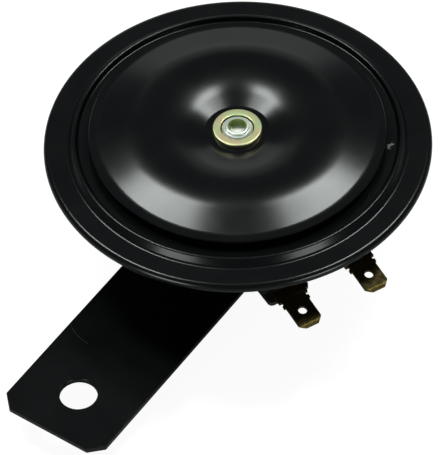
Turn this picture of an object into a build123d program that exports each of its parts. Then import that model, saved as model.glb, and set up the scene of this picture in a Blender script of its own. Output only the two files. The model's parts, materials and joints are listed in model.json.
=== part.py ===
from build123d import *
import os
from math import asin, atan2, cos, degrees, hypot, radians, sin, sqrt

os.makedirs("parts", exist_ok=True)

# A flat automobile disc horn, lying on its back with its tone disc facing up.
# The frame's origin is the centre of the bracket's bolt hole on the bracket's
# back face. +X runs along the bracket to the horn's axis, +Z is the way the
# horn sounds. All lengths are in millimetres, all angles in degrees.

# ---- outside sizes ----
flange_dia = 95.0
body_depth = 27.6
flange_band = 5.9
bracket_width = 29.5
bracket_thick = 1.5
hole_to_axis = 68.9
bracket_hole_dia = 9.2
bracket_tail = 12.6
bracket_corner = 3.4
terminal_azimuth = -114.8
terminal_spacing = 18.7

# ---- sheet metal ----
diaphragm_sheet = 0.5
gasket_sheet = 0.5
housing_sheet = 1.2
disc_sheet = 0.7
blade_sheet = 0.8

# ---- diaphragm and tone disc ----
plateau_rise = 0.7
bead_rise = 1.85
disc_lift = 1.75
disc_cup = 4.4
lip_rise = 0.35
centre_washer_dia = 12.1
centre_washer_thick = 1.0

# ---- armature stud ----
stud_dia = 7.6
boss_dia = 5.9
hex_across_flats = 4.0
hex_depth = 2.6

# ---- rear housing and magnet ----
deck_depth = 11.0
rear_thread_dia = 8.0
armature_thick = 3.5
air_gap = 0.7

# ---- contact breaker ----
carrier_thick = 2.0
contact_dia = 4.0
contact_thick = 1.0
spring_sheet = 0.3
plate_sheet = 0.8
spring_travel = 1.0
spring_length = 25.0
carrier_rivet_pitch = 11.1
adjuster_dia = 4.0
rivet_dia = 3.0
rivet_head_dia = 5.2
rivet_head_thick = 0.9

# ---- terminals ----
blade_width = 6.3
shoulder_width = 7.9
nib_width = 7.2
blade_hole_dia = 2.2
shoulder_reach = 41.2
blade_reach = 9.0
blade_droop = 7.5

# ---- fits ----
slip = 0.05
washer_slip = 0.3

# ---- heights that follow ----
front = bracket_thick + body_depth
rim_thick = diaphragm_sheet + gasket_sheet + housing_sheet + diaphragm_sheet
rim_round = rim_thick / 2
plateau = front + plateau_rise
disc_centre = plateau + disc_lift + disc_sheet
washer_top = disc_centre + centre_washer_thick
deck = front - deck_depth
deck_floor = deck + housing_sheet
can_floor = bracket_thick + housing_sheet
armature_top = plateau - diaphragm_sheet
armature_face = armature_top - armature_thick
pole_face = armature_face - air_gap

# ---- radii that follow ----
flange_r = flange_dia / 2
foot_r = flange_r - flange_band
bead_r = foot_r - 1.7
disc_r = foot_r - 5.3
disc_foot_r = disc_r - 2.2
disc_crest_r = 0.592 * disc_r
disc_flat_r = centre_washer_dia / 2 + 1.85
wall_r = foot_r - 1.9
can_r = 0.617 * wall_r
can_bore_r = can_r - housing_sheet
works_r = (can_bore_r + wall_r) / 2 + 0.5
armature_r = 0.73 * can_bore_r
core_r = 0.39 * can_bore_r
stud_r = stud_dia / 2
thread_r = rear_thread_dia / 2
rivet_r = rivet_dia / 2
rivet_head_r = rivet_head_dia / 2
adjuster_head_r = 0.85 * adjuster_dia

# ---- heights in the contact breaker ----
carrier_top = deck_floor + carrier_thick
spring_top = carrier_top + spring_sheet
contact_meet = spring_top + contact_thick
fixed_plate_under = contact_meet + contact_thick
bobbin_top = carrier_top - spring_travel - 0.1

# ---- heights at the terminals ----
live_gap = 1.6
shelf_thick = 1.5
live_blade_top = deck - live_gap
shelf_top = live_blade_top - blade_sheet
shelf_under = shelf_top - shelf_thick

horn_axis = Axis((hole_to_axis, 0, 0), (0, 0, 1))
section = Plane(origin=(hole_to_axis, 0, 0), x_dir=(1, 0, 0), z_dir=(0, -1, 0))


def level(height):
    """A flat plane square to the horn's axis, centred on it."""
    return Plane(origin=(hole_to_axis, 0, height), x_dir=(1, 0, 0), z_dir=(0, 0, 1))


def around(azimuth, radius, height):
    """A flat plane set off from the horn's axis, its x pointing outwards."""
    out = Vector(cos(radians(azimuth)), sin(radians(azimuth)), 0)
    spot = Vector(hole_to_axis, 0, height) + out * radius
    return Plane(origin=spot, x_dir=out, z_dir=(0, 0, 1))


def between(start, end, height):
    """A flat plane at one spot, its x pointing at another spot."""
    run = Vector(end.X - start.X, end.Y - start.Y, 0)
    spot = Vector(start.X, start.Y, height)
    return Plane(origin=spot, x_dir=run.normalized(), z_dir=(0, 0, 1))


def swing(chord, radius):
    """The angle at the horn's axis between two spots on one circle, a chord apart."""
    return 2 * degrees(asin(chord / 2 / radius))


def corner(line, radius, height):
    """The corners of a half-section that lie at one radius and height."""
    return [v for v in line.vertices() if hypot(v.X - radius, v.Y - height) < 0.01]


# ================= tone disc and what holds it =================

disc_peak = disc_centre + disc_cup
with BuildPart() as tone_disc:
    with BuildSketch(section):
        with BuildLine() as disc_skin:
            Polyline(
                (stud_r + slip, disc_centre),
                (disc_flat_r, disc_centre),
                (disc_crest_r, disc_peak),
                (disc_foot_r, disc_centre + lip_rise),
                (disc_r, disc_centre + lip_rise),
            )
            fillet(corner(disc_skin, disc_crest_r, disc_peak), radius=0.97 * disc_crest_r)
            fillet(corner(disc_skin, disc_flat_r, disc_centre), radius=0.8)
            fillet(corner(disc_skin, disc_foot_r, disc_centre + lip_rise), radius=4.0)
            offset(amount=disc_sheet, side=Side.RIGHT, kind=Kind.INTERSECTION, closed=True)
        make_face()
    revolve(axis=horn_axis)
    brim = tone_disc.edges().filter_by(GeomType.CIRCLE).group_by(SortBy.RADIUS)[-1]
    chamfer(brim, length=0.15)

with BuildPart() as centre_washer:
    with BuildSketch(level(disc_centre)):
        Circle(centre_washer_dia / 2)
        Circle(stud_r + washer_slip, mode=Mode.SUBTRACT)
    extrude(amount=centre_washer_thick)
    washer_edges = centre_washer.edges().filter_by(GeomType.CIRCLE).group_by(SortBy.RADIUS)[-1]
    chamfer(washer_edges, length=0.2)

with BuildPart() as disc_spacer:
    with BuildSketch(level(plateau)):
        Circle(disc_flat_r - 0.9)
        Circle(stud_r + slip, mode=Mode.SUBTRACT)
    extrude(amount=disc_lift)

boss_top = washer_top + 0.5
with BuildPart() as armature_stud:
    with BuildSketch(level(armature_face)):
        Circle(stud_r)
    extrude(amount=washer_top - 0.1 - armature_face)
    collar_edge = armature_stud.edges().group_by(Axis.Z)[-1]
    chamfer(collar_edge, length=0.3)
    with BuildSketch(level(washer_top - 0.6)):
        Circle(boss_dia / 2)
    extrude(amount=boss_top - washer_top + 0.6)
    boss_edge = armature_stud.edges().group_by(Axis.Z)[-1]
    fillet(boss_edge, radius=0.45)
    with BuildSketch(level(boss_top)):
        RegularPolygon(hex_across_flats / 2, 6, major_radius=False)
    extrude(amount=-hex_depth, mode=Mode.SUBTRACT)
    with BuildSketch(level(boss_top)):
        Circle(hex_across_flats / 2 + 0.3)
    extrude(amount=-0.3, taper=45, mode=Mode.SUBTRACT)

# ================= diaphragm, gasket and housing =================

fold_in = 2.6
bead_foot_r = bead_r - 0.9
bead_peak = plateau + bead_rise
roll_r = flange_r - rim_round
with BuildPart() as diaphragm:
    with BuildSketch(section):
        with BuildLine() as skin:
            Polyline(
                (stud_r + slip, plateau),
                (bead_foot_r, plateau),
                (bead_r, bead_peak),
                (foot_r, front),
                (roll_r, front),
            )
            fillet(corner(skin, bead_r, bead_peak), radius=0.6)
            fillet(corner(skin, bead_foot_r, plateau), radius=0.5)
            fillet(corner(skin, foot_r, front), radius=1.0)
            ThreePointArc(
                (roll_r, front),
                (flange_r, front - rim_round),
                (roll_r, front - rim_thick),
            )
            Line((roll_r, front - rim_thick), (roll_r - fold_in, front - rim_thick))
            offset(amount=diaphragm_sheet, side=Side.RIGHT, kind=Kind.INTERSECTION, closed=True)
        make_face()
    revolve(axis=horn_axis)

clamped_r = roll_r - slip
with BuildPart() as rim_gasket:
    with BuildSketch(level(front - diaphragm_sheet - gasket_sheet)):
        Circle(clamped_r)
        Circle(foot_r + 1.2, mode=Mode.SUBTRACT)
    extrude(amount=gasket_sheet)

flange_under = front - rim_thick + diaphragm_sheet
live_side = -1
ground_side = 1
rivet_along = 0.95 * works_r
rivet_azimuth = degrees(atan2(terminal_spacing / 2, rivet_along))
rivet_circle_r = hypot(terminal_spacing / 2, rivet_along)
live_azimuth = terminal_azimuth + live_side * rivet_azimuth
ground_azimuth = terminal_azimuth + ground_side * rivet_azimuth
adjuster_reach = shoulder_width / 2 + adjuster_head_r + 1.85
contact_reach = adjuster_reach + adjuster_dia / 2 + contact_dia / 2 + 2.4
contact_azimuth = ground_azimuth + swing(contact_reach, works_r)
anchor_azimuth = contact_azimuth + swing(spring_length, works_r)
carrier_rivet_azimuth = anchor_azimuth + swing(carrier_rivet_pitch, works_r)
neck_r = rivet_r + 1.1

ground_spot = around(ground_azimuth, rivet_circle_r, 0).origin
contact_spot = around(contact_azimuth, works_r, 0).origin
anchor_spot = around(anchor_azimuth, works_r, 0).origin
adjuster_base = between(ground_spot, contact_spot, deck)
adjuster_spot = adjuster_base.from_local_coords((adjuster_reach, 0, 0))

with BuildPart() as rear_housing:
    with BuildSketch(section):
        with BuildLine() as shell:
            Polyline(
                (clamped_r, flange_under),
                (wall_r, flange_under),
                (wall_r, deck),
                (can_r, deck),
                (can_r, bracket_thick),
                (thread_r + slip, bracket_thick),
            )
            fillet(corner(shell, wall_r, flange_under), radius=0.8)
            fillet(corner(shell, wall_r, deck), radius=3.0)
            fillet(corner(shell, can_r, deck), radius=0.8)
            fillet(corner(shell, can_r, bracket_thick), radius=2.0)
            offset(amount=housing_sheet, side=Side.RIGHT, kind=Kind.INTERSECTION, closed=True)
        make_face()
    revolve(axis=horn_axis)
    with Locations(around(live_azimuth, rivet_circle_r, deck_floor)):
        Hole(neck_r + slip, depth=housing_sheet)
    with Locations(around(ground_azimuth, rivet_circle_r, deck_floor)):
        Hole(rivet_r, depth=housing_sheet)
    with Locations(around(carrier_rivet_azimuth, works_r, deck_floor)):
        Hole(rivet_r, depth=housing_sheet)
    with Locations((adjuster_spot.X, adjuster_spot.Y, deck_floor)):
        Hole(adjuster_dia / 2, depth=housing_sheet)

# ================= magnet =================

with BuildPart() as armature:
    with BuildSketch(level(armature_face)):
        Circle(armature_r)
        Circle(stud_r, mode=Mode.SUBTRACT)
    extrude(amount=armature_thick)
    armature_rim = armature.edges().filter_by(GeomType.CIRCLE).group_by(SortBy.RADIUS)[-1]
    chamfer(armature_rim, length=0.4)

nut_thick = 6.5
lock_washer_thick = 1.6
stud_tip = -(lock_washer_thick + nut_thick - 0.4)
with BuildPart() as pole_core:
    with BuildSketch(level(can_floor)):
        Circle(core_r)
    extrude(amount=pole_face - can_floor)
    chamfer(pole_core.edges().group_by(Axis.Z)[-1], length=0.5)
    with BuildSketch(level(stud_tip)):
        Circle(thread_r)
    extrude(amount=can_floor - stud_tip)
    chamfer(pole_core.edges().group_by(Axis.Z)[0], length=0.8)

bobbin_r = can_bore_r - 1.1
bobbin_hub_r = core_r + 1.2
bobbin_flange = 1.2
with BuildPart() as coil_bobbin:
    with BuildSketch(level(can_floor)):
        Circle(bobbin_hub_r)
    extrude(amount=bobbin_top - can_floor)
    with BuildSketch(level(can_floor), level(bobbin_top - bobbin_flange)):
        Circle(bobbin_r)
    extrude(amount=bobbin_flange)
    with BuildSketch(level(can_floor)):
        Circle(core_r + slip)
    extrude(amount=bobbin_top - can_floor, mode=Mode.SUBTRACT)

winding_r = bobbin_r - 1.0
with BuildPart() as coil_winding:
    with BuildSketch(level(can_floor + bobbin_flange)):
        Circle(winding_r)
        Circle(bobbin_hub_r, mode=Mode.SUBTRACT)
    extrude(amount=bobbin_top - can_floor - 2 * bobbin_flange)

# ================= contact breaker =================

carrier_in_r = can_bore_r + 2.6
carrier_out_r = wall_r - housing_sheet - 2.2
carrier_start = live_azimuth - 11
carrier_end = carrier_rivet_azimuth + 8
spring_width = 0.19 * works_r
spring_line = between(anchor_spot, contact_spot, carrier_top)
spring_span = hypot(contact_spot.X - anchor_spot.X, contact_spot.Y - anchor_spot.Y)
with BuildPart() as contact_carrier:
    with BuildSketch(level(deck_floor)):
        with BuildLine():
            inner = CenterArc((0, 0), carrier_in_r, carrier_start, carrier_end - carrier_start)
            outer = CenterArc((0, 0), carrier_out_r, carrier_start, carrier_end - carrier_start)
            Line(inner @ 0, outer @ 0)
            Line(inner @ 1, outer @ 1)
        make_face()
    extrude(amount=carrier_thick)
    with BuildSketch(spring_line):
        with Locations((spring_span / 2 + 3.6, 0)):
            Rectangle(spring_span, 1.8 * spring_width)
    extrude(amount=-spring_travel, mode=Mode.SUBTRACT)
    for azimuth in (live_azimuth, ground_azimuth):
        with Locations(around(azimuth, rivet_circle_r, carrier_top)):
            Hole(rivet_r, depth=carrier_thick)
    with Locations(around(anchor_azimuth, works_r, carrier_top)):
        Hole(rivet_r, depth=carrier_thick)
    with Locations(around(carrier_rivet_azimuth, works_r, carrier_top)):
        Hole(rivet_r, depth=carrier_thick)
    with Locations((adjuster_spot.X, adjuster_spot.Y, carrier_top)):
        Hole(adjuster_dia / 2 + slip, depth=carrier_thick)
    with BuildSketch(around(anchor_azimuth, works_r, deck_floor)):
        Circle(rivet_head_r + slip)
    extrude(amount=rivet_head_thick + slip, mode=Mode.SUBTRACT)

tab_reach = 0.86 * armature_r
tab_out = 0.93 * works_r
tab_azimuth = (contact_azimuth + anchor_azimuth) / 2
with BuildPart() as moving_spring:
    with BuildSketch(spring_line):
        with Locations((spring_span / 2, 0)):
            SlotOverall(spring_span + spring_width + 1.5, spring_width)
    with BuildSketch(around(tab_azimuth, 0, carrier_top)):
        with Locations(((tab_reach + tab_out) / 2 - 1.3, 0)):
            Rectangle(tab_out - tab_reach + 2.6, 0.8 * spring_width)
    extrude(amount=spring_sheet)
    with Locations(around(anchor_azimuth, works_r, spring_top)):
        Hole(rivet_r, depth=spring_sheet)

with BuildPart() as moving_contact:
    with BuildSketch(around(contact_azimuth, works_r, spring_top)):
        Circle(contact_dia / 2)
    extrude(amount=contact_thick)
    chamfer(moving_contact.edges().group_by(Axis.Z)[-1], length=0.25)

with BuildPart() as fixed_contact:
    with BuildSketch(around(contact_azimuth, works_r, contact_meet)):
        Circle(contact_dia / 2)
    extrude(amount=contact_thick)
    chamfer(fixed_contact.edges().group_by(Axis.Z)[0], length=0.25)

plate_line = between(ground_spot, contact_spot, 0)
plate_span = hypot(contact_spot.X - ground_spot.X, contact_spot.Y - ground_spot.Y)
plate_side = Plane(
    origin=(ground_spot.X, ground_spot.Y, 0),
    x_dir=plate_line.x_dir,
    z_dir=-plate_line.y_dir,
)
with BuildPart() as fixed_contact_plate:
    with BuildSketch(plate_side):
        with BuildLine() as plate_bend:
            Polyline(
                (-rivet_head_r, carrier_top),
                (rivet_head_r + 0.8, carrier_top),
                (rivet_head_r + 2.2, fixed_plate_under),
                (plate_span + contact_dia / 2 + 0.5, fixed_plate_under),
            )
            offset(amount=plate_sheet, side=Side.LEFT, kind=Kind.INTERSECTION, closed=True)
        make_face()
    extrude(amount=spring_width / 2, both=True)
    with Locations((ground_spot.X, ground_spot.Y, carrier_top + plate_sheet)):
        Hole(rivet_r, depth=plate_sheet)

with BuildPart() as armature_pusher:
    with BuildSketch(around(tab_azimuth, tab_reach, spring_top)):
        Circle(1.6)
    extrude(amount=armature_face - spring_top)

screw_head_thick = 2.0
with BuildPart() as adjusting_screw:
    with BuildSketch(Plane(adjuster_spot)):
        Circle(adjuster_dia / 2)
    extrude(amount=fixed_plate_under - deck)
    with BuildSketch(Plane(adjuster_spot)):
        Circle(adjuster_head_r)
    extrude(amount=-screw_head_thick)
    chamfer(adjusting_screw.edges().group_by(Axis.Z)[0], length=0.3)
    with BuildSketch(Plane(adjuster_spot).offset(-screw_head_thick)):
        Rectangle(2 * adjuster_dia, 1.0)
    extrude(amount=1.0, mode=Mode.SUBTRACT)

# ================= rivets =================

with BuildPart() as spring_rivet:
    with BuildSketch(around(anchor_azimuth, works_r, deck_floor + slip)):
        Circle(rivet_head_r)
    extrude(amount=rivet_head_thick)
    with BuildSketch(around(anchor_azimuth, works_r, deck_floor + slip)):
        Circle(rivet_r)
    extrude(amount=spring_top + 0.2 - deck_floor - slip)
    with BuildSketch(around(anchor_azimuth, works_r, spring_top)):
        Circle(rivet_head_r)
    extrude(amount=rivet_head_thick)

with BuildPart() as carrier_rivet:
    with BuildSketch(around(carrier_rivet_azimuth, works_r, deck - rivet_head_thick)):
        Circle(rivet_head_r)
    extrude(amount=rivet_head_thick)
    with BuildSketch(around(carrier_rivet_azimuth, works_r, deck)):
        Circle(rivet_r)
    extrude(amount=carrier_top - deck)
    with BuildSketch(around(carrier_rivet_azimuth, works_r, carrier_top)):
        Circle(rivet_head_r)
    extrude(amount=rivet_head_thick)
    chamfer(carrier_rivet.edges().group_by(Axis.Z)[0], length=0.3)

with BuildPart() as terminal_rivet_live:
    with BuildSketch(around(live_azimuth, rivet_circle_r, shelf_under - rivet_head_thick)):
        Circle(rivet_head_r)
    extrude(amount=rivet_head_thick)
    with BuildSketch(around(live_azimuth, rivet_circle_r, shelf_under)):
        Circle(rivet_r)
    extrude(amount=carrier_top - shelf_under)
    with BuildSketch(around(live_azimuth, rivet_circle_r, carrier_top)):
        Circle(rivet_head_r)
    extrude(amount=rivet_head_thick)
    chamfer(terminal_rivet_live.edges().group_by(Axis.Z)[0], length=0.3)

ground_blade_under = deck - blade_sheet
plate_foot_top = carrier_top + plate_sheet
with BuildPart() as terminal_rivet_ground:
    with BuildSketch(around(ground_azimuth, rivet_circle_r, ground_blade_under - rivet_head_thick)):
        Circle(rivet_head_r)
    extrude(amount=rivet_head_thick)
    with BuildSketch(around(ground_azimuth, rivet_circle_r, ground_blade_under)):
        Circle(rivet_r)
    extrude(amount=plate_foot_top - ground_blade_under)
    with BuildSketch(around(ground_azimuth, rivet_circle_r, plate_foot_top)):
        Circle(rivet_head_r)
    extrude(amount=rivet_head_thick)
    chamfer(terminal_rivet_ground.edges().group_by(Axis.Z)[0], length=0.3)

# ================= terminals =================

can_clear = 1.0
block_width = 11.2
block_side = terminal_spacing / 2 - block_width / 2
block_start = sqrt((can_r + can_clear) ** 2 - block_side**2)
root_start = block_start + 1.2
tip_clip = 1.5
tip_bevel = 0.25
tip_slope = 0.6
nib_length = 0.9
hole_reach = 0.467 * blade_reach


def blade_root(side, top):
    """The plane of one blade's flat root, its x pointing out along the blade."""
    middle = around(terminal_azimuth, 0, top)
    spot = middle.origin + middle.y_dir * (side * terminal_spacing / 2)
    return Plane(origin=spot, x_dir=middle.x_dir, z_dir=middle.z_dir)


def blade_tab(side, top):
    """The plane of one blade's drooping tab, starting at its shoulders."""
    root = blade_root(side, top)
    along = cos(radians(blade_droop))
    down = sin(radians(blade_droop))
    shoulder = root.origin + root.x_dir * shoulder_reach
    slope = root.x_dir * along - root.z_dir * down
    rise = root.x_dir * down + root.z_dir * along
    return Plane(origin=shoulder, x_dir=slope, z_dir=rise)


def tip_face(blade, side, top):
    """The squared-off end face of one blade's tip."""
    tab = blade_tab(side, top)
    end = tab.origin + tab.x_dir * blade_reach - tab.z_dir * (blade_sheet / 2)
    return blade.faces().sort_by_distance(end)[0]


with BuildPart() as terminal_blade_live:
    with BuildSketch(blade_root(live_side, live_blade_top)):
        with Locations(((root_start + shoulder_reach) / 2, 0)):
            Rectangle(shoulder_reach - root_start, shoulder_width)
    extrude(amount=-blade_sheet)
    with BuildSketch(blade_tab(live_side, live_blade_top)) as live_outline:
        with Locations((blade_reach / 2 - 0.4, 0)):
            Rectangle(blade_reach + 0.8, blade_width)
        tip = live_outline.vertices().group_by(Axis.X)[-1]
        chamfer(tip, length=tip_clip)
        with Locations((1.5 * nib_length, 0)):
            Rectangle(nib_length, nib_width)
        with Locations((hole_reach, 0)):
            Circle(blade_hole_dia / 2, mode=Mode.SUBTRACT)
    extrude(amount=-blade_sheet)
    live_end = tip_face(terminal_blade_live, live_side, live_blade_top)
    live_end_edges = live_end.edges().group_by(SortBy.LENGTH)[-1]
    chamfer(live_end_edges, length=tip_bevel, length2=tip_slope, reference=live_end)
    with Locations(blade_root(live_side, live_blade_top)):
        with Locations((rivet_along, 0)):
            Hole(rivet_r, depth=blade_sheet)

with BuildPart() as terminal_blade_ground:
    with BuildSketch(blade_root(ground_side, deck)):
        with Locations(((root_start + shoulder_reach) / 2, 0)):
            Rectangle(shoulder_reach - root_start, shoulder_width)
    extrude(amount=-blade_sheet)
    with BuildSketch(blade_tab(ground_side, deck)) as ground_outline:
        with Locations((blade_reach / 2 - 0.4, 0)):
            Rectangle(blade_reach + 0.8, blade_width)
        tip = ground_outline.vertices().group_by(Axis.X)[-1]
        chamfer(tip, length=tip_clip)
        with Locations((1.5 * nib_length, 0)):
            Rectangle(nib_length, nib_width)
        with Locations((hole_reach, 0)):
            Circle(blade_hole_dia / 2, mode=Mode.SUBTRACT)
    extrude(amount=-blade_sheet)
    ground_end = tip_face(terminal_blade_ground, ground_side, deck)
    ground_end_edges = ground_end.edges().group_by(SortBy.LENGTH)[-1]
    chamfer(ground_end_edges, length=tip_bevel, length2=tip_slope, reference=ground_end)
    with Locations(blade_root(ground_side, deck)):
        with Locations((rivet_along, 0)):
            Hole(rivet_r, depth=blade_sheet)

block_reach = shoulder_reach - 1.6
cap_reach = wall_r - 3.4
with BuildPart() as terminal_insulator:
    with BuildSketch(blade_root(live_side, shelf_under)) as shelf:
        with Locations(((block_start + block_reach) / 2, 0)):
            Rectangle(block_reach - block_start, block_width)
        fillet(shelf.vertices().group_by(Axis.X)[-1], radius=1.2)
    extrude(amount=shelf_thick)
    chamfer(terminal_insulator.edges().group_by(Axis.Z)[0], length=0.4)
    with BuildSketch(blade_root(live_side, shelf_top)):
        with Locations(((block_start + cap_reach) / 2, 0)):
            Rectangle(cap_reach - block_start, block_width)
    extrude(amount=deck - shelf_top)
    with BuildSketch(blade_root(live_side, shelf_top)):
        with Locations(((root_start + block_reach) / 2 + 1, 0)):
            Rectangle(block_reach - root_start + 2, shoulder_width)
    extrude(amount=blade_sheet, mode=Mode.SUBTRACT)
    with BuildSketch(around(live_azimuth, rivet_circle_r, deck)):
        Circle(neck_r)
    extrude(amount=housing_sheet)
    with Locations(around(live_azimuth, rivet_circle_r, deck_floor)):
        Hole(rivet_r, depth=deck_floor - shelf_under)

# ================= coil leads =================

lead_r = 0.35
lead_bend = 2 * lead_r
lead_rest = bobbin_top + lead_r
live_head_top = carrier_top + rivet_head_thick + lead_r
anchor_head_top = spring_top + rivet_head_thick + lead_r
lead_start_r = bobbin_hub_r + 2.0


def lead_path(azimuth, end_r, end_height):
    """The corners of a coil end, from the bobbin's flange to a rivet's head."""
    inner = around(azimuth, lead_start_r, lead_rest).origin
    edge = around(azimuth, bobbin_r - 0.5, lead_rest).origin
    rise = around(azimuth, end_r - 1.5 * rivet_head_r, end_height).origin
    head = around(azimuth, end_r, end_height).origin
    return [inner, edge, rise, head]


with BuildPart() as coil_lead_live:
    with BuildLine() as live_run:
        FilletPolyline(*lead_path(live_azimuth, rivet_circle_r, live_head_top), radius=lead_bend)
    with BuildSketch(Plane(origin=live_run.line @ 0, z_dir=live_run.line % 0)):
        Circle(lead_r)
    sweep()

with BuildPart() as coil_lead_contact:
    with BuildLine() as contact_run:
        FilletPolyline(*lead_path(anchor_azimuth, works_r, anchor_head_top), radius=lead_bend)
    with BuildSketch(Plane(origin=contact_run.line @ 0, z_dir=contact_run.line % 0)):
        Circle(lead_r)
    sweep()

# ================= bracket =================

with BuildPart() as bracket:
    with BuildSketch(Plane.XY) as strip:
        with Locations(((hole_to_axis - bracket_tail) / 2, 0)):
            Rectangle(hole_to_axis + bracket_tail, bracket_width)
        free_end = strip.vertices().group_by(Axis.X)[0]
        chamfer(free_end, length=bracket_corner)
        with Locations((hole_to_axis, 0)):
            Circle(bracket_width / 2)
            Circle(thread_r + slip, mode=Mode.SUBTRACT)
        Circle(bracket_hole_dia / 2, mode=Mode.SUBTRACT)
    extrude(amount=bracket_thick)

with BuildPart() as lock_washer:
    with BuildSketch(level(-lock_washer_thick)):
        Circle(1.8 * thread_r)
        Circle(thread_r + slip, mode=Mode.SUBTRACT)
        with Locations((1.4 * thread_r, 0)):
            Rectangle(thread_r, 0.8, mode=Mode.SUBTRACT)
    extrude(amount=lock_washer_thick)

nut_across_flats = 1.625 * rear_thread_dia
with BuildPart() as bracket_nut:
    with BuildSketch(level(-lock_washer_thick - nut_thick)):
        RegularPolygon(nut_across_flats / 2, 6, major_radius=False)
    extrude(amount=nut_thick)
    with BuildSketch(section):
        with BuildLine():
            Polyline(
                (0.52 * nut_across_flats, -lock_washer_thick - nut_thick),
                (0.60 * nut_across_flats, -lock_washer_thick - nut_thick),
                (0.60 * nut_across_flats, -lock_washer_thick - nut_thick + 0.8),
                close=True,
            )
        make_face()
    revolve(axis=horn_axis, mode=Mode.SUBTRACT)
    with BuildSketch(level(-lock_washer_thick)):
        Circle(thread_r)
    extrude(amount=-nut_thick, mode=Mode.SUBTRACT)

# ================= names and files =================

pieces = {
    "tone_disc": tone_disc,
    "centre_washer": centre_washer,
    "disc_spacer": disc_spacer,
    "armature_stud": armature_stud,
    "diaphragm": diaphragm,
    "rim_gasket": rim_gasket,
    "rear_housing": rear_housing,
    "armature": armature,
    "armature_pusher": armature_pusher,
    "pole_core": pole_core,
    "coil_bobbin": coil_bobbin,
    "coil_winding": coil_winding,
    "coil_lead_live": coil_lead_live,
    "coil_lead_contact": coil_lead_contact,
    "contact_carrier": contact_carrier,
    "moving_spring": moving_spring,
    "moving_contact": moving_contact,
    "fixed_contact": fixed_contact,
    "fixed_contact_plate": fixed_contact_plate,
    "adjusting_screw": adjusting_screw,
    "spring_rivet": spring_rivet,
    "carrier_rivet": carrier_rivet,
    "terminal_rivet_live": terminal_rivet_live,
    "terminal_rivet_ground": terminal_rivet_ground,
    "terminal_blade_live": terminal_blade_live,
    "terminal_blade_ground": terminal_blade_ground,
    "terminal_insulator": terminal_insulator,
    "bracket": bracket,
    "lock_washer": lock_washer,
    "bracket_nut": bracket_nut,
}
for name, piece in pieces.items():
    piece.part.label = name
    export_step(piece.part, f"parts/{name}.step")
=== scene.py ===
import json
from math import cos, degrees, pi, radians, sin, tan

import bmesh
import bpy
from mathutils import Matrix, Vector


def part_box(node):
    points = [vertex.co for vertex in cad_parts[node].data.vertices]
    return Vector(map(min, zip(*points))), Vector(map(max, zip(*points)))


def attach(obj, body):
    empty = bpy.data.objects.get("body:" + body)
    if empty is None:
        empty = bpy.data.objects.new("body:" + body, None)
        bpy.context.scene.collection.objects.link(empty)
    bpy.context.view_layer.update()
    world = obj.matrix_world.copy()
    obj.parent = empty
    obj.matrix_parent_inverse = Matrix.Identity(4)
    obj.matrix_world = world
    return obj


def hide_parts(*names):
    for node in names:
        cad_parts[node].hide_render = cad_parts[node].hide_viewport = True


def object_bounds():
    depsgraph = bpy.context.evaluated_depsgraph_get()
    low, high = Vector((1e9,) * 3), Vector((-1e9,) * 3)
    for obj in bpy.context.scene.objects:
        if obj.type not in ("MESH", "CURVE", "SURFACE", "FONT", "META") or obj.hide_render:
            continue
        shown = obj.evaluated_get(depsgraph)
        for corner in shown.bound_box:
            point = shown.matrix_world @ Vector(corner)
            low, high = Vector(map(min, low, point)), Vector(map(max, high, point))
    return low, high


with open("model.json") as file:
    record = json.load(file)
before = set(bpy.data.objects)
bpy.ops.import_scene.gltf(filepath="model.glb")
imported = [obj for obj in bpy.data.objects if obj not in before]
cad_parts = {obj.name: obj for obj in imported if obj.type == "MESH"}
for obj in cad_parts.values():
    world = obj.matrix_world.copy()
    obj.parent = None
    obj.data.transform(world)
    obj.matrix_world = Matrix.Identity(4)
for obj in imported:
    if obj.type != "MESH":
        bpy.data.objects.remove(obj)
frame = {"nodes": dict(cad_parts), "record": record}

# A flat disc horn lying on its back, in metres. Its place and most of its
# sizes are read from the frame. Sizes that the frame's boxes don't give are
# the real ones, written in millimetres times MM, or in microns times MICRON.

MM = 0.001
MICRON = 0.001 * MM
cad_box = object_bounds()
scene = bpy.context.scene

# ---- places and sizes read from the frame ----
washer_low, washer_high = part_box("centre_washer")
skin_low, skin_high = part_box("diaphragm")
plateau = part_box("disc_spacer")[0].z
gasket_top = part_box("rim_gasket")[1].z
axis_x = (washer_low.x + washer_high.x) / 2
washer_r = (washer_high.x - washer_low.x) / 2
flange_r = skin_high.x - axis_x
disc_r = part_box("tone_disc")[1].x - axis_x
disc_centre = washer_low.z

# ---- holes around the stud ----
STUD_HOLE_R = 3.85 * MM
WASHER_HOLE_R = 4.1 * MM

# ---- diaphragm ----
SKIN_SHEET = 0.5 * MM
SKIN_EDGE = 0.1 * MM
FLANGE_BAND = 5.9 * MM
BEAD_SLOPE = 1.7 * MM
BEAD_FOOT = 0.9 * MM
BEAD_RISE = 1.85 * MM
BEAD_FOOT_FILLET = 0.5 * MM
BEAD_CREST_FILLET = 0.6 * MM
FLANGE_FILLET = 1.0 * MM
FOLD_IN = 2.6 * MM
foot_r = flange_r - FLANGE_BAND
bead_r = foot_r - BEAD_SLOPE
front = gasket_top + SKIN_SHEET
rim_thick = front - skin_low.z

# ---- tone disc: a flat centre, a ring-shaped bulge and a flat brim ----
# The bulge has an inner and an outer corner. Rises are heights above the flat centre.
DISC_SHEET = 0.7 * MM
DISC_EDGE = 0.2 * MM
FLAT_BAND = 1.85 * MM
FLAT_FILLET = 0.5 * MM
BULGE_IN_R = 15.5 * MM
BULGE_IN_RISE = 3.15 * MM
BULGE_IN_FILLET = 26 * MM
BULGE_OUT_R = 25.0 * MM
BULGE_OUT_RISE = 3.32 * MM
BULGE_OUT_FILLET = 20 * MM
BRIM_BAND = 2.2 * MM
BRIM_RISE = 0.35 * MM
BRIM_FILLET = 4.0 * MM

# ---- centre washer ----
WASHER_HOLE_FILLET = 0.15 * MM
WASHER_RIM_FILLET = 0.28 * MM

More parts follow.
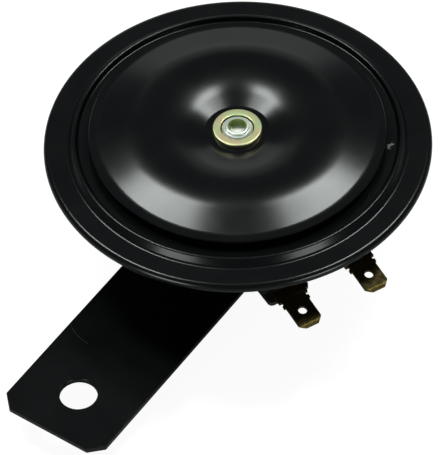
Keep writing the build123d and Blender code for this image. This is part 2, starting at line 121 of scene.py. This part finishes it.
# ---- fineness of the turned pieces: degrees to a chord, and steps round the axis ----
DISC_CHORD = 1.5
SKIN_CHORD = 6
ROLL_CHORD = 5
WASHER_CHORD = 15
PRESSING_STEPS = 360
WASHER_STEPS = 192

# ---- points that are nearer than this become one ----
MERGE_GAP = 0.5 * MICRON

# ---- edges: the degrees above which one is shaded sharp, and broken ----
TURNED_CREASE = 40
CAD_CREASE = 30
BROKEN_ANGLE = 40

# ---- width of the broken edges on the softened pieces ----
BROKEN_EDGES = {
    "bracket": 0.18 * MM,
    "terminal_blade_live": 0.08 * MM,
    "terminal_blade_ground": 0.08 * MM,
    "terminal_insulator": 0.15 * MM,
    "bracket_nut": 0.2 * MM,
    "lock_washer": 0.15 * MM,
    "rear_housing": 0.12 * MM,
}


# ================= turned pieces =================

def rounded(corners, chord):
    """A line through (radius, height, fillet) corners, its fillets as short arcs."""
    line = [Vector(corners[0][:2])]
    for before, here, after in zip(corners, corners[1:], corners[2:]):
        spot = Vector(here[:2])
        back = (Vector(before[:2]) - spot).normalized()
        on = (Vector(after[:2]) - spot).normalized()
        half = back.angle(on) / 2
        reach = here[2] / tan(half)
        centre = spot + (back + on).normalized() * (here[2] / sin(half))
        start = spot + back * reach - centre
        turn = start.angle_signed(spot + on * reach - centre)
        count = max(2, round(abs(degrees(turn)) / chord))
        for i in range(count + 1):
            line.append(centre + Matrix.Rotation(-turn * i / count, 2) @ start)
    line.append(Vector(corners[-1][:2]))
    return line


def left_normals(line):
    """The unit normal to the left of a line at each of its points."""
    found = []
    for i, spot in enumerate(line):
        run = Vector((0, 0))
        if i > 0:
            run += (spot - line[i - 1]).normalized()
        if i < len(line) - 1:
            run += (line[i + 1] - spot).normalized()
        run.normalize()
        found.append(Vector((-run.y, run.x)))
    return found


def sheet_section(line, thick, edge):
    """The closed section of a sheet under a line, with both its cut edges eased."""
    side = left_normals(line)
    under = [spot - out * thick for spot, out in zip(line, side)]
    section = []
    for skin, out in ((line, side), (under[::-1], [-out for out in side[::-1]])):
        first = (skin[1] - skin[0]).normalized()
        last = (skin[-1] - skin[-2]).normalized()
        section.append(skin[0] - out[0] * edge)
        section.append(skin[0] + first * edge)
        section += skin[1:-1]
        section.append(skin[-1] - last * edge)
        section.append(skin[-1] - out[-1] * edge)
    return section


def shown(name, mesh, crease):
    """An object with clean outward faces, shaded smooth up to the crease angle."""
    work = bmesh.new()
    work.from_mesh(mesh)
    bmesh.ops.remove_doubles(work, verts=work.verts, dist=MERGE_GAP)
    bmesh.ops.recalc_face_normals(work, faces=work.faces)
    work.to_mesh(mesh)
    work.free()
    for face in mesh.polygons:
        face.use_smooth = True
    mesh.set_sharp_from_angle(angle=radians(crease))
    thing = bpy.data.objects.new(name, mesh)
    scene.collection.objects.link(thing)
    return thing


def turned(name, section, steps):
    """A closed ring turned about the horn's axis from a closed section."""
    verts = []
    faces = []
    count = len(section)
    for i in range(steps):
        angle = 2 * pi * i / steps
        for spot in section:
            verts.append((axis_x + spot.x * cos(angle), spot.x * sin(angle), spot.y))
        on = (i + 1) % steps
        for j in range(count):
            k = (j + 1) % count
            faces.append((i * count + j, on * count + j, on * count + k, i * count + k))
    mesh = bpy.data.meshes.new(name)
    mesh.from_pydata(verts, [], faces)
    return shown(name, mesh, TURNED_CREASE)


def tone_disc():
    """A pressed disc with a hole for the stud and a bulge between two flats."""
    brim = disc_centre + BRIM_RISE
    line = rounded([
        (STUD_HOLE_R, disc_centre, 0),
        (washer_r + FLAT_BAND, disc_centre, FLAT_FILLET),
        (BULGE_IN_R, disc_centre + BULGE_IN_RISE, BULGE_IN_FILLET),
        (BULGE_OUT_R, disc_centre + BULGE_OUT_RISE, BULGE_OUT_FILLET),
        (disc_r - BRIM_BAND, brim, BRIM_FILLET),
        (disc_r, brim, 0),
    ], DISC_CHORD)
    section = sheet_section(line, DISC_SHEET, DISC_EDGE)
    return turned("pressed_tone_disc", section, PRESSING_STEPS)


def diaphragm():
    """A flat skin with a bead and a flange, whose edge rolls round and folds in below."""
    round_r = rim_thick / 2
    roll_r = flange_r - round_r
    line = rounded([
        (STUD_HOLE_R, plateau, 0),
        (bead_r - BEAD_FOOT, plateau, BEAD_FOOT_FILLET),
        (bead_r, plateau + BEAD_RISE, BEAD_CREST_FILLET),
        (foot_r, front, FLANGE_FILLET),
        (roll_r, front, 0),
    ], SKIN_CHORD)[:-1]
    for angle in range(90, -90 - ROLL_CHORD, -ROLL_CHORD):
        out = Vector((cos(radians(angle)), sin(radians(angle))))
        line.append(Vector((roll_r, front - round_r)) + out * round_r)
    line.append(Vector((roll_r - FOLD_IN, skin_low.z)))
    section = sheet_section(line, SKIN_SHEET, SKIN_EDGE)
    return turned("rolled_diaphragm", section, PRESSING_STEPS)


def centre_washer():
    """A flat ring, rounded at the top of its hole and of its rim."""
    section = rounded([
        (WASHER_HOLE_R, washer_low.z, 0),
        (WASHER_HOLE_R, washer_high.z, WASHER_HOLE_FILLET),
        (washer_r, washer_high.z, WASHER_RIM_FILLET),
        (washer_r, washer_low.z, 0),
    ], WASHER_CHORD)
    return turned("turned_washer", section, WASHER_STEPS)


# ================= softened CAD pieces =================

def softened(node, width):
    """A copy of a CAD node's shape with its sharp edges broken by a small round."""
    source = frame["nodes"][node]
    mesh = source.data.copy()
    mesh.transform(source.matrix_world)
    thing = shown("softened_" + node, mesh, CAD_CREASE)
    bevel = thing.modifiers.new("broken_edges", "BEVEL")
    bevel.width = width
    bevel.segments = 2
    bevel.limit_method = "ANGLE"
    bevel.angle_limit = radians(BROKEN_ANGLE)
    level = thing.modifiers.new("flat_faces", "WEIGHTED_NORMAL")
    level.keep_sharp = True
    return thing


# ================= materials =================

# how far one colour takes to fade into the next
FADE = 0.1 * MM


class Finish:
    """A principled material, with short ways to add the usual nodes."""

    def __init__(self, name, colour, rough, metal=0.0):
        self.material = bpy.data.materials.new(name)
        self.material.use_nodes = True
        self.nodes = self.material.node_tree.nodes
        self.links = self.material.node_tree.links
        self.shader = self.nodes["Principled BSDF"]
        self.shader.inputs["Base Color"].default_value = (*colour, 1)
        self.shader.inputs["Roughness"].default_value = rough
        self.shader.inputs["Metallic"].default_value = metal
        self.place = self.nodes.new("ShaderNodeTexCoord").outputs["Object"]

    def noise(self, scale, detail=3.0):
        """Noise of a scale in cells per metre, which is mostly between 0.3 and 0.7."""
        made = self.nodes.new("ShaderNodeTexNoise")
        made.inputs["Scale"].default_value = scale
        made.inputs["Detail"].default_value = detail
        self.links.new(self.place, made.inputs["Vector"])
        return made.outputs["Fac"]

    def spread(self, value, low, high, start=0.3, end=0.7):
        """The value from start to end, turned into low to high and held there."""
        made = self.nodes.new("ShaderNodeMapRange")
        made.inputs["From Min"].default_value = start
        made.inputs["From Max"].default_value = end
        made.inputs["To Min"].default_value = low
        made.inputs["To Max"].default_value = high
        self.links.new(value, made.inputs["Value"])
        return made.outputs["Result"]

    def ramp(self, value, stops):
        """The colour for a value, from (value, colour) stops."""
        made = self.nodes.new("ShaderNodeValToRGB")
        elements = made.color_ramp.elements
        while len(elements) < len(stops):
            elements.new(0.5)
        for element, (spot, colour) in zip(elements, stops):
            element.position = spot
            element.color = (*colour, 1)
        self.links.new(value, made.inputs["Fac"])
        return made.outputs["Color"]

    def blend(self, share, first, second):
        """The first colour, turning into the second where the share is 1."""
        # A Mix node's colours are its sockets 6 and 7, and its result is output 2.
        made = self.nodes.new("ShaderNodeMix")
        made.data_type = "RGBA"
        self.links.new(share, made.inputs[0])
        for socket, colour in ((made.inputs[6], first), (made.inputs[7], second)):
            if isinstance(colour, tuple):
                socket.default_value = (*colour, 1)
            else:
                self.links.new(colour, socket)
        return made.outputs[2]

    def maths(self, kind, *values):
        """A maths node's result, from numbers or other nodes' results."""
        made = self.nodes.new("ShaderNodeMath")
        made.operation = kind
        for socket, value in zip(made.inputs, values):
            if isinstance(value, (int, float)):
                socket.default_value = value
            else:
                self.links.new(value, socket)
        return made.outputs["Value"]

    def vector(self, kind, first, second=None):
        """A vector node's result: first is linked, second is a fixed vector."""
        made = self.nodes.new("ShaderNodeVectorMath")
        made.operation = kind
        self.links.new(first, made.inputs[0])
        if second:
            made.inputs[1].default_value = second
        return made.outputs["Value" if kind in ("LENGTH", "DOT_PRODUCT") else "Vector"]

    def apart(self, spot, stretch=(1, 1, 1)):
        """The distance from a spot, counted more or less along a stretched axis."""
        moved = self.vector("SUBTRACT", self.place, spot)
        return self.vector("LENGTH", self.vector("MULTIPLY", moved, stretch))

    def from_axis(self):
        """The distance from the horn's axis."""
        return self.apart((axis_x, 0, 0), (1, 1, 0))

    def height(self):
        """The height in the frame."""
        made = self.nodes.new("ShaderNodeSeparateXYZ")
        self.links.new(self.place, made.inputs["Vector"])
        return made.outputs["Z"]

    def wave(self, value, rate):
        """A sine of the value, at a rate in radians per metre."""
        return self.maths("SINE", self.maths("MULTIPLY", value, rate))

    def bump(self, height, depth):
        """Bend the light as a surface raised by height times depth would."""
        made = self.nodes.new("ShaderNodeBump")
        made.inputs["Strength"].default_value = 1.0
        made.inputs["Distance"].default_value = depth
        self.links.new(height, made.inputs["Height"])
        self.links.new(made.outputs["Normal"], self.shader.inputs["Normal"])

    def colour(self, value):
        self.links.new(value, self.shader.inputs["Base Color"])

    def rough(self, value):
        self.links.new(value, self.shader.inputs["Roughness"])

    def mottled(self, scale, detail, stops):
        """Colour that wanders through the stops."""
        self.colour(self.ramp(self.noise(scale, detail), stops))

    def uneven(self, scale, low, high):
        """Roughness that wanders between low and high."""
        self.rough(self.spread(self.noise(scale), low, high))

    def grained(self, scale, detail, depth):
        """A fine uneven grain."""
        self.bump(self.noise(scale, detail), depth)


# ---- black paint, with a chip beside the disc's rim and a faint pale arc on the bracket ----
PAINT_COLOUR = (0.0019, 0.0022, 0.0024)
PAINT_ROUGH = 0.215
PAINT_ROUGH_SWING = 0.02
PAINT_SPECULAR = 0.33
DUST_COLOUR = (0.02, 0.021, 0.022)
CHIP_COLOUR = (0.16, 0.165, 0.16)
CHIP_SPOT = (86.6 * MM, -32.8 * MM, 29.8 * MM)
CHIP_STRETCH = (0.62, 1.0, 0.5)
CHIP_R = 0.6 * MM
# A faint pale line, patchy along its length, is drawn along a short arc of a circle on the bracket.
PALE_ARC_COLOUR = (0.06, 0.062, 0.064)
PALE_ARC_CENTRE = (26.2 * MM, 6.8 * MM, 1.5 * MM)
PALE_ARC_R = 12.3 * MM
PALE_ARC_WIDTH = 0.09 * MM
PALE_ARC_SPOT = (14.8 * MM, 10.8 * MM, 1.5 * MM)
PALE_ARC_REACH = 4.2 * MM


def chip_mark(paint):
    """1 inside the ragged chip, 0 outside."""
    ragged = paint.maths("MULTIPLY", paint.spread(paint.noise(1300), -0.9, 0.9), CHIP_R)
    gap = paint.maths("ADD", paint.apart(CHIP_SPOT, CHIP_STRETCH), ragged)
    return paint.spread(gap, 1, 0, 0.8 * CHIP_R, 1.1 * CHIP_R)


def pale_arc_mark(paint):
    """Up to 1 along a short, patchy arc of a circle, 0 elsewhere."""
    off_circle = paint.maths("SUBTRACT", paint.apart(PALE_ARC_CENTRE), PALE_ARC_R)
    off_line = paint.maths("ABSOLUTE", off_circle)
    on_line = paint.spread(off_line, 1, 0, 0.5 * PALE_ARC_WIDTH, PALE_ARC_WIDTH)
    off_spot = paint.apart(PALE_ARC_SPOT)
    within = paint.spread(off_spot, 1, 0, 0.7 * PALE_ARC_REACH, PALE_ARC_REACH)
    patchy = paint.spread(paint.noise(700), 0.2, 1)
    return paint.maths("MULTIPLY", paint.maths("MULTIPLY", on_line, within), patchy)


def dust_mark(paint):
    """1 in sparse fine specks, 0 elsewhere."""
    return paint.spread(paint.noise(2600, 2.0), 0, 1, 0.74, 0.80)


def black_paint():
    paint = Finish("black_paint", PAINT_COLOUR, PAINT_ROUGH)
    paint.shader.inputs["Specular IOR Level"].default_value = PAINT_SPECULAR
    paint.uneven(120, PAINT_ROUGH - PAINT_ROUGH_SWING, PAINT_ROUGH + PAINT_ROUGH_SWING)
    paint.grained(1400, 2.0, depth=0.5 * MICRON)
    dusty = paint.blend(dust_mark(paint), PAINT_COLOUR, DUST_COLOUR)
    chipped = paint.blend(chip_mark(paint), dusty, CHIP_COLOUR)
    paint.colour(paint.blend(pale_arc_mark(paint), chipped, PALE_ARC_COLOUR))
    return paint.material


# ---- plated, ground and sprung metals ----
# Turning marks are rings about the axis, at a rate in radians per metre.
WASHER_RINGS = 24000.0
STEEL_RINGS = 18000.0
SOCKET_R = 2.3 * MM
# In the hex socket, the floor is painted pale as a painted highlight, and the walls above it dark
# green: a green tint with painted shade.
SOCKET_HIGHLIGHT_TOP = 31.5 * MM
SOCKET_DULLNESS = 0.2
SOCKET_FLOOR_HIGHLIGHT_COLOUR = (0.97, 0.98, 0.90)
SOCKET_WALL_SHADE_COLOUR = (0.26, 0.34, 0.12)


def yellow_zinc():
    zinc = Finish("yellow_zinc", (0.8, 0.8, 0.46), rough=0.36, metal=1.0)
    zinc.mottled(260, 1.0, [
        (0.34, (0.74, 0.87, 0.47)),
        (0.46, (0.82, 0.86, 0.46)),
        (0.58, (0.86, 0.82, 0.45)),
        (0.70, (0.90, 0.76, 0.46)),
    ])
    zinc.bump(zinc.wave(zinc.from_axis(), WASHER_RINGS), depth=1.5 * MICRON)
    return zinc.material


def clear_zinc():
    """Bright plating; in the stud's hex socket, dull walls painted dark green, a green tint with
    painted shade, and a floor painted pale as a painted highlight.
    """
    zinc = Finish("clear_zinc", (0.86, 0.90, 0.86), rough=0.36, metal=1.0)
    plate = zinc.ramp(zinc.noise(700, 2.0), [
        (0.3, (0.80, 0.86, 0.80)),
        (0.7, (0.92, 0.93, 0.90)),
    ])
    # By height, the socket's floor gets a painted highlight and its walls painted shade.
    socket = zinc.spread(zinc.from_axis(), 1, 0, SOCKET_R, 1.1 * SOCKET_R)
    shaded_wall = zinc.spread(zinc.height(), 0, 1, SOCKET_HIGHLIGHT_TOP, SOCKET_HIGHLIGHT_TOP + FADE)
    socket_light_and_shade = zinc.blend(shaded_wall, SOCKET_FLOOR_HIGHLIGHT_COLOUR, SOCKET_WALL_SHADE_COLOUR)
    zinc.colour(zinc.blend(socket, plate, socket_light_and_shade))
    dull = zinc.maths("MULTIPLY", socket, SOCKET_DULLNESS)
    zinc.rough(zinc.maths("ADD", zinc.spread(zinc.noise(500), 0.32, 0.42), dull))
    zinc.grained(2500, 2.0, depth=1.0 * MICRON)
    return zinc.material


def bare_steel():
    steel = Finish("bare_steel", (0.42, 0.42, 0.43), rough=0.35, metal=1.0)
    steel.uneven(400, 0.28, 0.45)
    steel.bump(steel.wave(steel.from_axis(), STEEL_RINGS), depth=1.0 * MICRON)
    return steel.material


def spring_steel():
    steel = Finish("spring_steel", (0.45, 0.46, 0.48), rough=0.25, metal=1.0)
    steel.uneven(700, 0.2, 0.32)
    steel.grained(3000, 2.0, depth=0.6 * MICRON)
    return steel.material


def contact_metal():
    metal = Finish("contact_metal", (0.5, 0.5, 0.5), rough=0.4, metal=1.0)
    metal.uneven(1500, 0.3, 0.5)
    metal.grained(4000, 3.0, depth=2.0 * MICRON)
    return metal.material


# ---- tarnished blades with worn golden tips ----
TERMINAL_AZIMUTH = -114.8
TIP_START = 49.1 * MM
TIP_COLOUR = (0.27, 0.20, 0.055)


def blade_brass():
    brass = Finish("blade_brass", (0.06, 0.048, 0.016), rough=0.2, metal=0.88)
    tarnish = brass.ramp(brass.noise(600, 4.0), [
        (0.32, (0.060, 0.046, 0.016)),
        (0.55, (0.086, 0.064, 0.022)),
        (0.72, (0.140, 0.092, 0.036)),
    ])
    out = (cos(radians(TERMINAL_AZIMUTH)), sin(radians(TERMINAL_AZIMUTH)), 0)
    along = brass.vector("DOT_PRODUCT", brass.place, out)
    reach = brass.maths("SUBTRACT", along, axis_x * out[0])
    tip = brass.spread(reach, 0, 1, TIP_START - 2 * FADE, TIP_START + FADE)
    brass.colour(brass.blend(tip, tarnish, TIP_COLOUR))
    brass.uneven(900, 0.17, 0.25)
    brass.grained(3200, 3.0, depth=2.0 * MICRON)
    return brass.material


# ---- plastics, board, gasket and wire ----
WIRE_PITCH = 0.5 * MM


def black_plastic():
    plastic = Finish("black_plastic", (0.008, 0.009, 0.010), rough=0.42)
    plastic.uneven(500, 0.36, 0.48)
    plastic.grained(3500, 2.0, depth=3.0 * MICRON)
    return plastic.material


def bobbin_plastic():
    plastic = Finish("bobbin_plastic", (0.70, 0.68, 0.62), rough=0.5)
    plastic.uneven(500, 0.42, 0.56)
    plastic.grained(3000, 2.0, depth=2.0 * MICRON)
    return plastic.material


def carrier_board():
    board = Finish("carrier_board", (0.22, 0.11, 0.05), rough=0.55)
    board.mottled(900, 4.0, [
        (0.3, (0.17, 0.08, 0.035)),
        (0.7, (0.27, 0.14, 0.06)),
    ])
    board.grained(2200, 3.0, depth=3.0 * MICRON)
    return board.material


def gasket():
    fibre = Finish("gasket", (0.05, 0.05, 0.05), rough=0.8)
    fibre.mottled(1500, 4.0, [
        (0.3, (0.03, 0.03, 0.03)),
        (0.7, (0.07, 0.068, 0.064)),
    ])
    fibre.grained(5000, 3.0, depth=8.0 * MICRON)
    return fibre.material


def copper_wire():
    copper = Finish("copper_wire", (0.60, 0.26, 0.12), rough=0.28, metal=1.0)
    copper.uneven(900, 0.22, 0.36)
    copper.bump(copper.wave(copper.height(), 2 * pi / WIRE_PITCH), depth=40 * MICRON)
    return copper.material


finishes = {
    "black_paint": black_paint(),
    "yellow_zinc": yellow_zinc(),
    "clear_zinc": clear_zinc(),
    "bare_steel": bare_steel(),
    "spring_steel": spring_steel(),
    "contact_metal": contact_metal(),
    "blade_brass": blade_brass(),
    "black_plastic": black_plastic(),
    "bobbin_plastic": bobbin_plastic(),
    "carrier_board": carrier_board(),
    "gasket": gasket(),
    "copper_wire": copper_wire(),
}


# ================= pieces put in place =================

slots = {}
for row in frame["record"]["subparts"]:
    slots[row["node"]] = row["material_slot"]


def finish(thing, node):
    thing.data.materials.clear()
    thing.data.materials.append(finishes[slots[node]])


def stands_for(thing, node):
    """The piece takes a CAD node's place, rides with it and gets its finish."""
    finish(thing, node)
    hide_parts(node)
    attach(thing, "root")


for node in slots:
    finish(frame["nodes"][node], node)
stands_for(tone_disc(), "tone_disc")
stands_for(diaphragm(), "diaphragm")
stands_for(centre_washer(), "centre_washer")
for node, width in BROKEN_EDGES.items():
    stands_for(softened(node, width), node)


# ================= camera =================

# The camera's place is given from the horn's axis at the front of its flange.
# FOCAL_PIXELS is its focal length in pixels of the photo, whose longer side sets the sensor.
CAMERA_AZIMUTH = -53.7
CAMERA_ELEVATION = 49.03
CAMERA_ROLL = 2.36
CAMERA_DISTANCE = 0.925
CAMERA_RIGHT = -5.2 * MM
CAMERA_UP = -21.53 * MM
SENSOR = 36.0
FOCAL_PIXELS = 3788.8
PHOTO_HEIGHT = 455
CLIP_NEAR = 0.01
CLIP_FAR = 20

aim = Vector((axis_x, 0, front))


def add_camera():
    azimuth = radians(CAMERA_AZIMUTH)
    elevation = radians(CAMERA_ELEVATION)
    roll = radians(CAMERA_ROLL)
    level = Vector((cos(azimuth), sin(azimuth), 0))
    ahead = Vector((-sin(azimuth) * cos(elevation), cos(azimuth) * cos(elevation), -sin(elevation)))
    up = level.cross(ahead)
    spot = aim - ahead * CAMERA_DISTANCE + level * CAMERA_RIGHT + up * CAMERA_UP
    across = level * cos(roll) - up * sin(roll)
    top = level * sin(roll) + up * cos(roll)
    camera = bpy.data.objects.new("camera", bpy.data.cameras.new("camera"))
    camera.matrix_world = Matrix((
        (across.x, top.x, -ahead.x, spot.x),
        (across.y, top.y, -ahead.y, spot.y),
        (across.z, top.z, -ahead.z, spot.z),
        (0, 0, 0, 1),
    ))
    camera.data.sensor_width = SENSOR
    camera.data.lens = SENSOR * FOCAL_PIXELS / PHOTO_HEIGHT
    camera.data.clip_start = CLIP_NEAR
    camera.data.clip_end = CLIP_FAR
    scene.collection.objects.link(camera)
    scene.camera = camera


# ================= light and floor =================

LAMP_COLOUR = (0.94, 1.0, 0.98)
# Lamps face the horn. A direction has x to the camera's right, y ahead of it and z up.
# name: direction, width and height, watts, distance
LAMPS = {
    "softbox_right": ((0.37, 0.24, 0.90), (0.18, 0.42), 5.2, 1.0),
    "softbox_left": ((-0.36, 0.24, 0.90), (0.18, 0.42), 5.2, 1.0),
    "far_panel": ((0.0, 0.96, 0.28), (1.0, 0.5), 0.8, 1.6),
    "high_far_panel": ((0.0, 0.88, 0.47), (0.8, 0.5), 0.5, 1.6),
    "fill_right": ((0.60, -0.77, 0.16), (0.36, 0.36), 2.7, 1.0),
    "fill_left": ((-0.60, -0.77, 0.16), (0.36, 0.36), 3.1, 1.0),
}
WORLD_COLOUR = (0.88, 0.93, 1.0, 1)
WORLD_STRENGTH = 0.10

# The camera sees the floor in SEEN_COLOUR, lit by the lamps, plus a glow of SEEN_GLOW.
# Reflections and bounced light find it in FLOOR_COLOUR, with no glow.
FLOOR_HALF = 3.0
FLOOR_COLOUR = (0.38, 0.38, 0.38, 1)
SEEN_COLOUR = (0.16, 0.16, 0.16, 1)
SEEN_GLOW = 0.93


def add_lamp(name, direction, size, watts, distance):
    azimuth = radians(CAMERA_AZIMUTH)
    x, y, z = direction
    away = Vector((x * cos(azimuth) - y * sin(azimuth), x * sin(azimuth) + y * cos(azimuth), z))
    away.normalize()
    light = bpy.data.lights.new(name, "AREA")
    light.shape = "RECTANGLE"
    light.size, light.size_y = size
    light.energy = watts
    light.color = LAMP_COLOUR
    lamp = bpy.data.objects.new(name, light)
    lamp.location = aim + away * distance
    lamp.rotation_mode = "QUATERNION"
    lamp.rotation_quaternion = (-away).to_track_quat("-Z", "Y")
    scene.collection.objects.link(lamp)


def add_world():
    world = bpy.data.worlds.new("studio")
    world.use_nodes = True
    background = world.node_tree.nodes["Background"]
    background.inputs["Color"].default_value = WORLD_COLOUR
    background.inputs["Strength"].default_value = WORLD_STRENGTH
    scene.world = world


def pale_floor():
    material = bpy.data.materials.new("pale_floor")
    material.use_nodes = True
    nodes = material.node_tree.nodes
    links = material.node_tree.links
    nodes.clear()
    out = nodes.new("ShaderNodeOutputMaterial")
    lit = nodes.new("ShaderNodeBsdfDiffuse")
    lit.inputs["Color"].default_value = FLOOR_COLOUR
    seen = nodes.new("ShaderNodeBsdfDiffuse")
    seen.inputs["Color"].default_value = SEEN_COLOUR
    glow = nodes.new("ShaderNodeEmission")
    glow.inputs["Strength"].default_value = SEEN_GLOW
    both = nodes.new("ShaderNodeAddShader")
    path = nodes.new("ShaderNodeLightPath")
    choice = nodes.new("ShaderNodeMixShader")
    links.new(seen.outputs["BSDF"], both.inputs[0])
    links.new(glow.outputs["Emission"], both.inputs[1])
    links.new(path.outputs["Is Camera Ray"], choice.inputs["Fac"])
    links.new(lit.outputs["BSDF"], choice.inputs[1])
    links.new(both.outputs["Shader"], choice.inputs[2])
    links.new(choice.outputs["Shader"], out.inputs["Surface"])
    return material


def add_floor():
    low = cad_box[0].z
    corners = [(-1, -1), (1, -1), (1, 1), (-1, 1)]
    mesh = bpy.data.meshes.new("floor")
    mesh.from_pydata([(x * FLOOR_HALF, y * FLOOR_HALF, low) for x, y in corners], [], [(0, 1, 2, 3)])
    mesh.materials.append(pale_floor())
    floor = bpy.data.objects.new("floor", mesh)
    scene.collection.objects.link(floor)


add_camera()
for name, setting in LAMPS.items():
    add_lamp(name, *setting)
add_world()
add_floor()
scene.view_settings.view_transform = "Standard"
